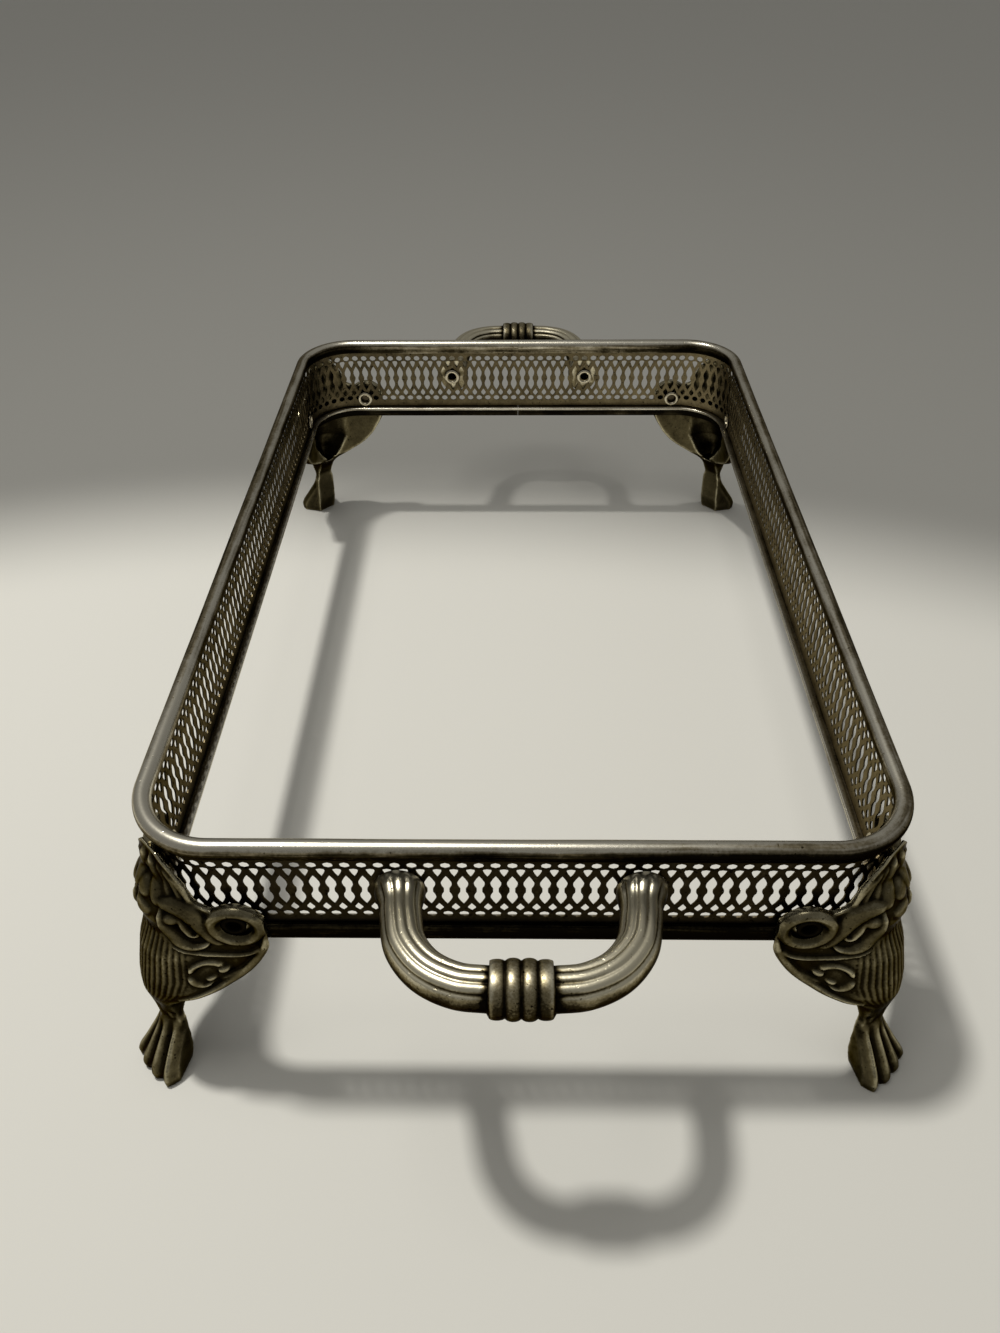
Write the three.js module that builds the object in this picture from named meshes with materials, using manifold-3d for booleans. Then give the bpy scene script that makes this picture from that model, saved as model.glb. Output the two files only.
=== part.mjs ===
// Casserole holder: a pierced gallery between a rolled rim and a bottom rail, on four cast scroll feet,
// with a cast handle on each short side. Hollow rivets hold the feet and the handles.
// Millimetres, +Z up, X across the holder, Y along it, origin on the table under the centre.
import * as THREE from 'three';
import { mergeVertices } from 'three/addons/utils/BufferGeometryUtils.js';
import Module from 'manifold-3d';

const wasm = await Module();
wasm.setup();

// Frame, measured on the centre line of the rolled rim
const FRAME_LENGTH = 340;
const FRAME_WIDTH = 223.5;
const CORNER_RADIUS = 24;
const RIM_HEIGHT = 103; // centre of the rim above the table; all other heights count down from it
const CORNER_STEPS = 6;
const BUTT_SEAM = 0.3; // gap where the ends of the rim and of the rail meet, on the far short side

// Sections of the frame: offset outwards from the centre line, height from the rim's centre
const FIT_GAP = 0.3;
const GALLERY_HALF = 0.5; // half of the pierced strip's thickness
const GALLERY_TOP = -2.2;
const GALLERY_FOOT = -34.5;
const RIM_RADIUS = 2.85;
const RIM_LIP = [[0.8, -3.7], [1.4, -3.8], [1.7, -2.8]]; // one of the two lips that grip the strip
const RIM_BEAD_FROM = -35; // the bead's arc, in degrees from the outward direction
const RIM_BEAD_SWEEP = 250;
const RIM_BEAD_STEPS = 8;
const LEDGE_TOP = -34.6; // the dish stands on this ledge
const RAIL_SKIRT = [[0.8, -34], [1.3, -33.9], [1.9, -34.2], [2.2, -38.6], [1.8, -40.4], [0.9, -41.2],
  [0.2, -40.7]];
const RAIL_LEDGE = [[0.1, -36.4], [-2.9, -36.3], [-3.5, -35.6], [-3.5, -35], [-3.1, LEDGE_TOP],
  [-1.7, LEDGE_TOP]];

// Piercing: a row of tall pointed openings, with a low wide one above and below each pair
const HOLE_COUNT = 228; // tall openings, an even number
const HOLE_CENTRE = -18.5;
const HOLE_HEIGHT = 12.8;
const HOLE_WIDTH = 2.5;
const LOW_HOLE_CENTRES = [-8.7, -28.3];
const LOW_HOLE_HEIGHT = 5.6;
const LOW_HOLE_WIDTH = 7.4;

// Hollow rivets: eight in the feet, four in the handles
const RIVET_BORE = 2.2;
const RIVET_SHANK = 3.0;
const RIVET_HOLE = 3.45;
const RIVET_FLANGE = 3.9;
const FLANGE_THICKNESS = 0.7;
const FOOT_RIVET_HEIGHT = -30.4;
const FOOT_RIVET_ALONG = 21.9; // from the middle of the corner, along the rim's centre line
const FOOT_RIVET_SEAT = 4.0; // offset of the shoulder in the foot's eye
const HANDLE_RIVET_HEIGHT = -17.5;
const HANDLE_RIVET_ACROSS = 36;
const HANDLE_SOCKET_DEPTH = 4.5;

// Handles
const HANDLE_REACH = 36.8; // centre of the grip outside the rim's centre line
const HANDLE_GRIP_HEIGHT = -10.8;
const HANDLE_RADIUS = 5.9;
const HANDLE_REED_DEPTH = 0.55;
const HANDLE_SIDES = 12;
const ROOT_FLARE_ACROSS = 1.25; // the ends spread where they meet the gallery
const ROOT_FLARE_UP = 1.5;
const KNUCKLE_RADIUS = 8.2;
const KNUCKLE_VALLEY = 6.9;
const KNUCKLE_HALF = 8.4;
const KNUCKLE_RINGS = 4;
const KNUCKLE_EDGE = 0.02; // where each ring starts and is full, as shares of its width
const KNUCKLE_FULL = 0.25;
const LEG_STEPS = 9;
const ROOT_FLARE_SHARE = 0.2; // share of the leg over which the flare dies away
// Centre line of the handle in plan, from the root at +X to the knuckle: across, outwards
const HANDLE_PATH = [[35, 0.8], [34, 7], [33, 15], [30.8, 24], [25, 31.6], [16.8, 35.8], [8.4, 36.8]];

// Feet: outlines against height, from the leaf under the rim down to the sole
const FOOT_SIDES = 16; // steps across the outer face
const FOOT_LEVELS = [-5, -9, -15, -22, -26, -29, -35, -42, -49, -55, -60, -63.5, -67, -71, -77, -84, -90, -96,
  -103];
const KNEE_LINE = [[-5, 4.2], [-9, 5.4], [-17, 8.4], [-23, 10.4], [-35, 11.8], [-45, 15], [-56, 17.8],
  [-64, 19.4], [-70, 18.6], [-77, 17.9], [-82, 18.8], [-88, 23], [-95, 28], [-103, 29.3]];
const HALF_WIDTH_LINE = [[-5, 3.5], [-9, 7], [-15, 10.5], [-22, 12.5], [-26, 21], [-29, 28], [-34, 31],
  [-40, 30.5], [-45, 28.6], [-52, 24.4], [-57, 19.8], [-60, 16], [-62, 12.6], [-63.5, 9.4], [-65, 6.4],
  [-67, 4.2], [-71, 3.2], [-77, 2.8], [-84, 2.8], [-90, 3.8], [-97, 4.6], [-103, 4.8]];
const EDGE_LINE = [[-5, 3.7], [-22, 4.6], [-26, 5.2], [-64, 5.2], [-71, 11], [-77, 14.5], [-84, 15.5],
  [-90, 19.5], [-96, 23.6], [-103, 25.6]];
const BACK_LINE = [[-5, 2.5], [-64, 2.5], [-70, 8], [-77, 11.5], [-86, 12.3], [-95, 12.8], [-103, 14.5]];
const KNEE_SPREAD_LINE = [[-5, 5], [-22, 13], [-35, 18], [-60, 20], [-68, 14], [-77, 3.6], [-86, 4],
  [-103, 6.5]];
const HEEL_SHARE_LINE = [[-84, 1], [-103, 0.6]]; // width of the back against the front
// The hollow behind the knee: height, half width, depth
const HOLLOW_LEVELS = [[-30, 8, 5], [-42, 11, 8], [-53, 11, 11.5], [-60, 6.5, 12.5], [-64.5, 2.5, 10.5]];
const HOLLOW_ROUNDING = 0.25; // how much shallower it is at its sides
const FLUTE_DEPTH = 0.7;
const FLUTE_TOP = -42;
const FLUTE_FOOT = -72;
const TOE_COUNT = 4;
const TOE_DEPTH = 1.4;
const TOE_TOP = -86;
const ROUNDEL_RADIUS = 9.2;
const ROUNDEL_FACE = 5.9;
const EYE_RADIUS = 4.4; // the eye is counterbored for the rivet's head
const RIVET_HEAD = 4.0;

const HALF_LENGTH = FRAME_LENGTH / 2;
const HALF_ACROSS = FRAME_WIDTH / 2;
const CORNER_X = HALF_ACROSS - CORNER_RADIUS;
const CORNER_Y = HALF_LENGTH - CORNER_RADIUS;
const HALF_ARC = CORNER_RADIUS * Math.PI / 4;

// Small tools

// Reads a line of [height, value] pairs at a height; the pairs run downwards.
function valueAt(line, height) {
  if (height >= line[0][0]) return line[0][1];
  for (let i = 1; i < line.length; i += 1) {
    const [above, valueAbove] = line[i - 1];
    const [below, valueBelow] = line[i];
    if (height >= below) return valueAbove + (valueBelow - valueAbove) * (above - height) / (above - below);
  }
  return line[line.length - 1][1];
}

// A bell that is 1 in the middle and 0 from one spread outwards.
function bell(distance) {
  const t = Math.min(Math.abs(distance), 1);
  return (1 + Math.cos(Math.PI * t)) / 2;
}

// Turns a triangle list into an indexed closed geometry whose faces point outwards.
function closedGeometry(positions) {
  const loose = new THREE.BufferGeometry();
  loose.setAttribute('position', new THREE.Float32BufferAttribute(positions, 3));
  const merged = mergeVertices(loose, 1e-4);
  const index = Array.from(merged.index.array);
  const point = merged.getAttribute('position');
  const a = new THREE.Vector3();
  const b = new THREE.Vector3();
  const c = new THREE.Vector3();
  let volume = 0;
  for (let i = 0; i < index.length; i += 3) {
    a.fromBufferAttribute(point, index[i]);
    b.fromBufferAttribute(point, index[i + 1]);
    c.fromBufferAttribute(point, index[i + 2]);
    volume += a.dot(b.cross(c));
  }
  if (volume < 0) index.reverse();
  merged.setIndex(index);
  return merged;
}

// Skins rings of equal point count; the skin closes on itself or is capped at both ends.
function loft(rings, closed) {
  const positions = [];
  const count = rings[0].length;
  const spans = closed ? rings.length : rings.length - 1;
  const triangle = (...corners) => corners.forEach((p) => positions.push(p.x, p.y, p.z));
  for (let j = 0; j < spans; j += 1) {
    const ring = rings[j];
    const next = rings[(j + 1) % rings.length];
    for (let i = 0; i < count; i += 1) {
      const k = (i + 1) % count;
      triangle(ring[i], ring[k], next[k]);
      triangle(ring[i], next[k], next[i]);
    }
  }
  if (!closed) {
    capFaces(rings[0]).forEach(([i, j, k]) => triangle(rings[0][i], rings[0][k], rings[0][j]));
    const last = rings[rings.length - 1];
    capFaces(last).forEach(([i, j, k]) => triangle(last[i], last[j], last[k]));
  }
  return closedGeometry(positions);
}

// Triangulates a flat ring in its own plane, in the ring's own direction.
function capFaces(ring) {
  const normal = new THREE.Vector3();
  ring.forEach((p, i) => normal.add(new THREE.Vector3().crossVectors(p, ring[(i + 1) % ring.length])));
  const turn = new THREE.Quaternion().setFromUnitVectors(normal.normalize(), new THREE.Vector3(0, 0, 1));
  const flat = ring.map((p) => p.clone().applyQuaternion(turn)).map((p) => new THREE.Vector2(p.x, p.y));
  return THREE.ShapeUtils.triangulateShape(flat, []);
}

// Solid form of a geometry, for cutting and joining.
function solid(geometry) {
  const plain = geometry.clone();
  plain.deleteAttribute('normal');
  plain.deleteAttribute('uv');
  const merged = mergeVertices(plain, 1e-4);
  return new wasm.Manifold(new wasm.Mesh({
    numProp: 3,
    vertProperties: new Float32Array(merged.getAttribute('position').array),
    triVerts: new Uint32Array(merged.index.array),
  }));
}

function geometryOf(manifold) {
  const mesh = manifold.getMesh();
  const geometry = new THREE.BufferGeometry();
  geometry.setAttribute('position', new THREE.BufferAttribute(Float32Array.from(mesh.vertProperties), 3));
  geometry.setIndex(new THREE.BufferAttribute(Uint32Array.from(mesh.triVerts), 1));
  return geometry;
}

// A point beside one corner of the frame: distance along the centre line from the middle of the corner
// (positive towards the short side), offset outwards, height.
function cornerPoint(along, offset, height) {
  if (Math.abs(along) <= HALF_ARC) {
    const angle = Math.PI / 4 + along / CORNER_RADIUS;
    const reach = CORNER_RADIUS + offset;
    return new THREE.Vector3(CORNER_X + reach * Math.cos(angle), CORNER_Y + reach * Math.sin(angle), height);
  }
  const past = Math.abs(along) - HALF_ARC;
  if (along > 0) return new THREE.Vector3(CORNER_X - past, CORNER_Y + CORNER_RADIUS + offset, height);
  return new THREE.Vector3(CORNER_X + CORNER_RADIUS + offset, CORNER_Y - past, height);
}

// A cylinder whose axis leaves the frame at a right angle.
function pegAt(point, outwards, from, to, radius, sides) {
  const peg = new THREE.CylinderGeometry(radius, radius, to - from, sides);
  peg.applyQuaternion(new THREE.Quaternion().setFromUnitVectors(new THREE.Vector3(0, 1, 0), outwards));
  const middle = point.clone().addScaledVector(outwards, (from + to) / 2);
  peg.translate(middle.x, middle.y, middle.z);
  return solid(peg);
}

// Frame: rim, rail and gallery

// Sweeps a section of [offset, height] pairs round the frame, from one side of the butt seam to the other.
function sweepRound(section) {
  const seamRing = (x) => section.map(([offset, height]) => (
    new THREE.Vector3(x, HALF_LENGTH + offset, height)));
  const rings = [seamRing(-BUTT_SEAM / 2)];
  for (let corner = 1; corner <= 4; corner += 1) {
    for (let step = 0; step <= CORNER_STEPS; step += 1) {
      const angle = (corner + step / CORNER_STEPS) * Math.PI / 2;
      const centreX = CORNER_X * Math.sign(Math.cos((corner + 0.5) * Math.PI / 2));
      const centreY = CORNER_Y * Math.sign(Math.sin((corner + 0.5) * Math.PI / 2));
      rings.push(section.map(([offset, height]) => new THREE.Vector3(
        centreX + (CORNER_RADIUS + offset) * Math.cos(angle),
        centreY + (CORNER_RADIUS + offset) * Math.sin(angle),
        height,
      )));
    }
  }
  rings.push(seamRing(BUTT_SEAM / 2));
  return loft(rings, false);
}

// The rim is a rolled bead with two lips that grip the top edge of the pierced strip.
function rimGeometry() {
  const slot = GALLERY_HALF + FIT_GAP;
  const section = [...RIM_LIP];
  for (let step = 0; step <= RIM_BEAD_STEPS; step += 1) {
    const angle = THREE.MathUtils.degToRad(RIM_BEAD_FROM + RIM_BEAD_SWEEP * step / RIM_BEAD_STEPS);
    section.push([RIM_RADIUS * Math.cos(angle), RIM_RADIUS * Math.sin(angle)]);
  }
  [...RIM_LIP].reverse().forEach(([offset, height]) => section.push([-offset, height]));
  section.push([-slot, GALLERY_TOP + FIT_GAP], [slot, GALLERY_TOP + FIT_GAP]);
  return sweepRound(section);
}

// The rail has an outer skirt with a lip outside the strip, and a narrow ledge inside for the dish.
function railGeometry() {
  const seat = GALLERY_FOOT - FIT_GAP;
  const lip = GALLERY_HALF + FIT_GAP;
  return sweepRound([[lip, seat], ...RAIL_SKIRT, ...RAIL_LEDGE, [-1.3, seat]]);
}

// A point on the centre line, counted anticlockwise from the middle of the long side at +X.
function centreLinePoint(distance, offset, height) {
  const straightLong = 2 * CORNER_Y;
  const straightShort = 2 * CORNER_X;
  const quarter = straightLong / 2 + 2 * HALF_ARC + straightShort / 2;
  const turn = Math.floor(distance / quarter + 1e-9);
  const mirrored = turn % 2 === 1;
  const rest = distance - turn * quarter;
  const local = mirrored ? quarter - rest : rest;
  const point = cornerPoint(local - straightLong / 2 - HALF_ARC, offset, height);
  const signX = turn % 4 === 0 || turn % 4 === 3 ? 1 : -1;
  const signY = turn % 4 < 2 ? 1 : -1;
  return new THREE.Vector3(signX * point.x, signY * point.y, height);
}

// A pointed opening in the flat strip.
function opening(middle, centre, width, height) {
  return [[0, 0.5], [0.5, 0], [0, -0.5], [-0.5, 0]].map(([across, up]) => (
    [middle + across * width, centre + up * height]));
}

// The pierced strip is built bay by bay, each with two tall openings and a low one above and below the pair.
function galleryGeometry() {
  const perimeter = 4 * (CORNER_X + CORNER_Y) + 8 * HALF_ARC;
  const bay = 2 * perimeter / HOLE_COUNT;
  const frame = [[0, GALLERY_FOOT], [bay / 2, GALLERY_FOOT], [bay, GALLERY_FOOT],
    [bay, GALLERY_TOP], [bay / 2, GALLERY_TOP], [0, GALLERY_TOP]];
  const holes = [
    opening(bay / 4, HOLE_CENTRE, HOLE_WIDTH, HOLE_HEIGHT),
    opening(3 * bay / 4, HOLE_CENTRE, HOLE_WIDTH, HOLE_HEIGHT),
    ...LOW_HOLE_CENTRES.map((centre) => opening(bay / 2, centre, LOW_HOLE_WIDTH, LOW_HOLE_HEIGHT)),
  ];
  const corners = [...frame, ...holes.flat()];
  const flat = (loop) => loop.map(([x, y]) => new THREE.Vector2(x, y));
  const faces = THREE.ShapeUtils.triangulateShape(flat(frame), holes.map(flat));
  const positions = [];
  for (let step = 0; step < HOLE_COUNT / 2; step += 1) {
    const at = (corner, offset) => {
      const [along, height] = corners[corner];
      const atEnd = along === bay && step === HOLE_COUNT / 2 - 1;
      return centreLinePoint(atEnd ? 0 : step * bay + along, offset, height);
    };
    const quad = (from, to) => {
      const p = [at(from, GALLERY_HALF), at(from, -GALLERY_HALF),
        at(to, -GALLERY_HALF), at(to, GALLERY_HALF)];
      [0, 1, 2, 0, 2, 3].forEach((i) => positions.push(...p[i].toArray()));
    };
    faces.forEach(([a, b, c]) => {
      [a, b, c].forEach((i) => positions.push(...at(i, GALLERY_HALF).toArray()));
      [a, c, b].forEach((i) => positions.push(...at(i, -GALLERY_HALF).toArray()));
    });
    [[0, 1], [1, 2], [3, 4], [4, 5]].forEach(([from, to]) => quad(from, to));
    let first = frame.length;
    holes.forEach((hole) => {
      hole.forEach((point, i) => quad(first + i, first + (i + 1) % hole.length));
      first += hole.length;
    });
  }
  let strip = solid(closedGeometry(positions));
  rivetPlaces().forEach(({ point, outwards }) => {
    strip = strip.subtract(pegAt(point, outwards, -2, 2, RIVET_HOLE, 8));
  });
  return geometryOf(strip);
}

// Rivets

const CORNERS = [
  { name: 'front_left', x: -1, y: -1 },
  { name: 'front_right', x: 1, y: -1 },
  { name: 'back_left', x: -1, y: 1 },
  { name: 'back_right', x: 1, y: 1 },
];
const ENDS = [{ name: 'front', y: -1 }, { name: 'back', y: 1 }];

// Where each rivet passes through the gallery, with the direction out of the frame.
function rivetPlaces() {
  const places = [];
  CORNERS.forEach((corner) => {
    [{ side: 'end', along: FOOT_RIVET_ALONG, outwards: new THREE.Vector3(0, corner.y, 0) },
      { side: 'flank', along: -FOOT_RIVET_ALONG, outwards: new THREE.Vector3(corner.x, 0, 0) },
    ].forEach(({ side, along, outwards }) => {
      const point = cornerPoint(along, 0, FOOT_RIVET_HEIGHT);
      point.x *= corner.x;
      point.y *= corner.y;
      places.push({ name: `foot_rivet_${corner.name}_${side}`, point, outwards, inFoot: true });
    });
  });
  ENDS.forEach((end) => {
    [{ side: 'left', x: -1 }, { side: 'right', x: 1 }].forEach(({ side, x }) => {
      const point = new THREE.Vector3(x * HANDLE_RIVET_ACROSS, end.y * HALF_LENGTH, HANDLE_RIVET_HEIGHT);
      const outwards = new THREE.Vector3(0, end.y, 0);
      places.push({ name: `handle_rivet_${end.name}_${side}`, point, outwards, inFoot: false });
    });
  });
  return places;
}

// A hollow rivet: a flange inside the frame, a tube, and in the feet a peened head in the eye.
function rivetGeometry(inFoot) {
  const seat = -GALLERY_HALF - FIT_GAP;
  const head = FOOT_RIVET_SEAT + FIT_GAP;
  const profile = [[RIVET_BORE, seat - FLANGE_THICKNESS], [RIVET_FLANGE, seat - FLANGE_THICKNESS],
    [RIVET_FLANGE, seat], [RIVET_SHANK, seat]];
  if (inFoot) {
    profile.push([RIVET_SHANK, head], [RIVET_HEAD, head],
      [RIVET_HEAD, head + FLANGE_THICKNESS], [RIVET_BORE, head + FLANGE_THICKNESS]);
  } else {
    profile.push([RIVET_SHANK, HANDLE_SOCKET_DEPTH - FIT_GAP], [RIVET_BORE, HANDLE_SOCKET_DEPTH - FIT_GAP]);
  }
  profile.push(profile[0]);
  return new THREE.LatheGeometry(profile.map(([x, y]) => new THREE.Vector2(x, y)), 10);
}

// Feet

// Offset of the outer face: the knee swells in the middle, flutes run down it, the toes spread at the sole.
function footFace(share, height) {
  const half = valueAt(HALF_WIDTH_LINE, height);
  const edge = valueAt(EDGE_LINE, height);
  const knee = valueAt(KNEE_LINE, height);
  const spread = valueAt(KNEE_SPREAD_LINE, height);
  let offset = edge + (knee - edge) * bell(share * half / spread);
  if (height < FLUTE_TOP && height > FLUTE_FOOT) {
    offset -= Math.round((share + 1) * FOOT_SIDES / 2) % 2 * FLUTE_DEPTH;
  }
  if (height < TOE_TOP && Math.abs(share) < 1) {
    const grow = (TOE_TOP - height) / (TOE_TOP - FOOT_LEVELS[FOOT_LEVELS.length - 1]);
    offset -= TOE_DEPTH * grow * (1 + Math.cos((share + 1) * Math.PI * TOE_COUNT)) / 2;
  }
  return offset;
}

function footRing(height) {
  const half = valueAt(HALF_WIDTH_LINE, height);
  const heel = half * valueAt(HEEL_SHARE_LINE, height);
  const ring = [];
  for (let i = 0; i <= FOOT_SIDES; i += 1) {
    const share = 2 * i / FOOT_SIDES - 1;
    ring.push(cornerPoint(share * half, footFace(share, height), height));
  }
  for (let i = FOOT_SIDES; i >= 0; i -= 2) {
    ring.push(cornerPoint((2 * i / FOOT_SIDES - 1) * heel, valueAt(BACK_LINE, height), height));
  }
  return ring;
}

// The knee is cast hollow; this is the hollow, open at the back.
function kneeHollow() {
  const rings = HOLLOW_LEVELS.map(([height, half, depth]) => {
    const ring = [-1, -0.4, 0.4, 1].map((share) => (
      cornerPoint(share * half, depth * (1 - HOLLOW_ROUNDING * share * share), height)));
    ring.push(cornerPoint(half, 0, height), cornerPoint(-half, 0, height));
    return ring;
  });
  return solid(loft(rings, false));
}

function footGeometry() {
  let foot = solid(loft(FOOT_LEVELS.map(footRing), false));
  foot = foot.subtract(kneeHollow());
  const wings = [
    { along: FOOT_RIVET_ALONG, outwards: new THREE.Vector3(0, 1, 0) },
    { along: -FOOT_RIVET_ALONG, outwards: new THREE.Vector3(1, 0, 0) },
  ];
  const back = valueAt(BACK_LINE, FOOT_RIVET_HEIGHT);
  wings.forEach(({ along, outwards }) => {
    const eye = cornerPoint(along, 0, FOOT_RIVET_HEIGHT);
    foot = foot.add(pegAt(eye, outwards, back, ROUNDEL_FACE, ROUNDEL_RADIUS, 16));
    foot = foot.subtract(pegAt(eye, outwards, 0, ROUNDEL_FACE, RIVET_HOLE, 10));
    foot = foot.subtract(pegAt(eye, outwards, FOOT_RIVET_SEAT, 2 * ROUNDEL_FACE, EYE_RADIUS, 12));
  });
  return geometryOf(foot);
}

// Handles

// The handle rises from its roots and levels off at the grip.
function handlePoint(across, out) {
  const rise = HANDLE_GRIP_HEIGHT - HANDLE_RIVET_HEIGHT;
  const share = Math.sin(Math.PI / 2 * out / HANDLE_REACH);
  return new THREE.Vector3(across, out, HANDLE_RIVET_HEIGHT + rise * share);
}

// One ring of the handle, square to the path; every second point is sunk by the depth of a reed.
function handleRing(centre, along, radius, reed, flareAcross, flareUp) {
  const side = new THREE.Vector3().crossVectors(along, new THREE.Vector3(0, 0, 1)).normalize();
  const up = new THREE.Vector3().crossVectors(side, along).normalize();
  const ring = [];
  for (let i = 0; i < HANDLE_SIDES; i += 1) {
    const angle = 2 * Math.PI * (i + 0.5) / HANDLE_SIDES;
    const r = radius - (i % 2) * reed;
    ring.push(centre.clone()
      .addScaledVector(side, r * flareAcross * Math.cos(angle))
      .addScaledVector(up, r * flareUp * Math.sin(angle)));
  }
  return ring;
}

// Half of the handle's rings, from the root at +X to the edge of the knuckle.
function legRings() {
  const curve = new THREE.CatmullRomCurve3(HANDLE_PATH.map(([across, out]) => handlePoint(across, out)));
  const rings = [];
  for (let i = 0; i <= LEG_STEPS; i += 1) {
    const t = i / LEG_STEPS;
    const flare = bell(t / ROOT_FLARE_SHARE);
    const along = i === 0 ? new THREE.Vector3(0, 1, 0) : curve.getTangent(t);
    rings.push(handleRing(curve.getPoint(t), along, HANDLE_RADIUS, HANDLE_REED_DEPTH,
      1 + (ROOT_FLARE_ACROSS - 1) * flare, 1 + (ROOT_FLARE_UP - 1) * flare));
  }
  return rings;
}

// The knuckle is a row of rounded rings round the middle of the grip.
function knuckleRings() {
  const rings = [];
  const width = 2 * KNUCKLE_HALF / KNUCKLE_RINGS;
  const along = new THREE.Vector3(-1, 0, 0);
  const addRing = (across, radius) => {
    rings.push(handleRing(handlePoint(across, HANDLE_REACH), along, radius, 0, 1, 1));
  };
  for (let i = 0; i < KNUCKLE_RINGS; i += 1) {
    const start = KNUCKLE_HALF - i * width;
    addRing(start - KNUCKLE_EDGE * width, KNUCKLE_VALLEY);
    addRing(start - KNUCKLE_FULL * width, KNUCKLE_RADIUS);
    addRing(start - (1 - KNUCKLE_FULL) * width, KNUCKLE_RADIUS);
  }
  addRing(-KNUCKLE_HALF + KNUCKLE_EDGE * width, KNUCKLE_VALLEY);
  return rings;
}

function mirrorRing(ring) {
  return ring.map((p) => new THREE.Vector3(-p.x, p.y, p.z));
}

function handleGeometry() {
  const leg = legRings();
  const rings = [...leg, ...knuckleRings(), ...leg.map(mirrorRing).reverse()];
  const bar = loft(rings, false);
  bar.translate(0, HALF_LENGTH, 0);
  let handle = solid(bar);
  [-1, 1].forEach((side) => {
    const root = new THREE.Vector3(side * HANDLE_RIVET_ACROSS, HALF_LENGTH, HANDLE_RIVET_HEIGHT);
    const outwards = new THREE.Vector3(0, 1, 0);
    handle = handle.subtract(pegAt(root, outwards, 0, HANDLE_SOCKET_DEPTH, RIVET_HOLE, 10));
  });
  return geometryOf(handle);
}

// Assembly

const wornPlate = { color: 0x8f897b, roughness: 0.38, metalness: 1 };
const darkCasting = { color: 0x6b6557, roughness: 0.45, metalness: 1 };
const brassTube = { color: 0x9a8f74, roughness: 0.4, metalness: 1 };

const holder = new THREE.Group();
holder.position.z = RIM_HEIGHT;

function addPiece(name, geometry, finish) {
  const mesh = new THREE.Mesh(geometry, new THREE.MeshStandardMaterial(finish));
  mesh.name = name;
  holder.add(mesh);
  return mesh;
}

// A copy of a geometry on the other side of the frame, with its faces turned outwards again.
function mirrored(geometry, x, y) {
  const copy = geometry.clone().scale(x, y, 1);
  if (x * y < 0) copy.index.array.reverse();
  return copy;
}

addPiece('top_rim', rimGeometry(), wornPlate);
addPiece('pierced_gallery', galleryGeometry(), darkCasting);
addPiece('bottom_rail', railGeometry(), wornPlate);

const foot = footGeometry();
CORNERS.forEach(({ name, x, y }) => addPiece(`foot_${name}`, mirrored(foot, x, y), darkCasting));

const handle = handleGeometry();
ENDS.forEach(({ name, y }) => addPiece(`handle_${name}`, mirrored(handle, 1, y), wornPlate));

rivetPlaces().forEach(({ name, point, outwards, inFoot }) => {
  const rivet = addPiece(name, rivetGeometry(inFoot), brassTube);
  rivet.position.copy(point);
  rivet.quaternion.setFromUnitVectors(new THREE.Vector3(0, 1, 0), outwards);
});

export default holder;
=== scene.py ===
import math

import bmesh
import bpy
import numpy as np
from mathutils import Matrix, Vector
from mathutils.geometry import delaunay_2d_cdt


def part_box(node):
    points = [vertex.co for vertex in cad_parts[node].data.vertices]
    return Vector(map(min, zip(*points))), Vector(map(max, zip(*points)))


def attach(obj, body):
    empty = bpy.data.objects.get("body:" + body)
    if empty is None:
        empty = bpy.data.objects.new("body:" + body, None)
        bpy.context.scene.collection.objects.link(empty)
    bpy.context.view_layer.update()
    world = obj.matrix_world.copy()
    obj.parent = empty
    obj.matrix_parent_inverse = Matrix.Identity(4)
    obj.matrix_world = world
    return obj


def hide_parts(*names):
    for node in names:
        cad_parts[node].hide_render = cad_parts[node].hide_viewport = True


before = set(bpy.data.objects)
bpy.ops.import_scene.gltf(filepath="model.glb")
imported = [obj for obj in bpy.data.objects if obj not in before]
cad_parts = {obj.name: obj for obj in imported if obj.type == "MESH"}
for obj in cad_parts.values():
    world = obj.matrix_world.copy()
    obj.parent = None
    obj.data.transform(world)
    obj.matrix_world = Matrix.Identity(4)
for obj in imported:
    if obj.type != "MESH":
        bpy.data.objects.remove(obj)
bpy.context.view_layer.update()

# Settings are in millimetres, the lamps' in metres. Heights count from the middle of the bead; the table is at -103.
mm = 0.001
tableLevel = -103.0
holder = {"halfAcross": 111.75, "halfAlong": 170.0, "corner": 24.0}  # centre line of the pierced strip
cornerX = holder["halfAcross"] - holder["corner"]
cornerY = holder["halfAlong"] - holder["corner"]
halfArc = holder["corner"] * math.pi / 4
perimeter = 4 * (cornerX + cornerY) + 8 * halfArc
corners = [("front_left", -1, -1), ("front_right", 1, -1), ("back_left", -1, 1), ("back_right", 1, 1)]


# small tools

def linear(hexColour):
    parts = [int(hexColour[i:i + 2], 16) / 255 for i in (1, 3, 5)]
    return tuple(p / 12.92 if p <= 0.04045 else ((p + 0.055) / 1.055) ** 2.4 for p in parts) + (1.0,)


def addNode(tree, kind, settings=None):
    # a setting is a property of the node, a value for one of its inputs, or what is linked to that input:
    # an output of another node, or the node itself for its first output
    node = tree.nodes.new(kind)
    for name, value in (settings or {}).items():
        if isinstance(value, bpy.types.Node):
            value = value.outputs[0]
        if isinstance(value, bpy.types.NodeSocket):
            tree.links.new(value, node.inputs[name])
        elif isinstance(name, str) and hasattr(node, name):
            setattr(node, name, value)
        else:
            node.inputs[name].default_value = value
    return node


def calc(tree, operation, *values, kind="ShaderNodeMath"):
    # one maths node, fed with numbers or with other nodes
    return addNode(tree, kind, {"operation": operation, **dict(enumerate(values))})


def vectorCalc(tree, operation, *values):
    return calc(tree, operation, *values, kind="ShaderNodeVectorMath")


def placeObject(name, data):
    made = bpy.data.objects.new(name, data)
    bpy.context.scene.collection.objects.link(made)
    return made


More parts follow.
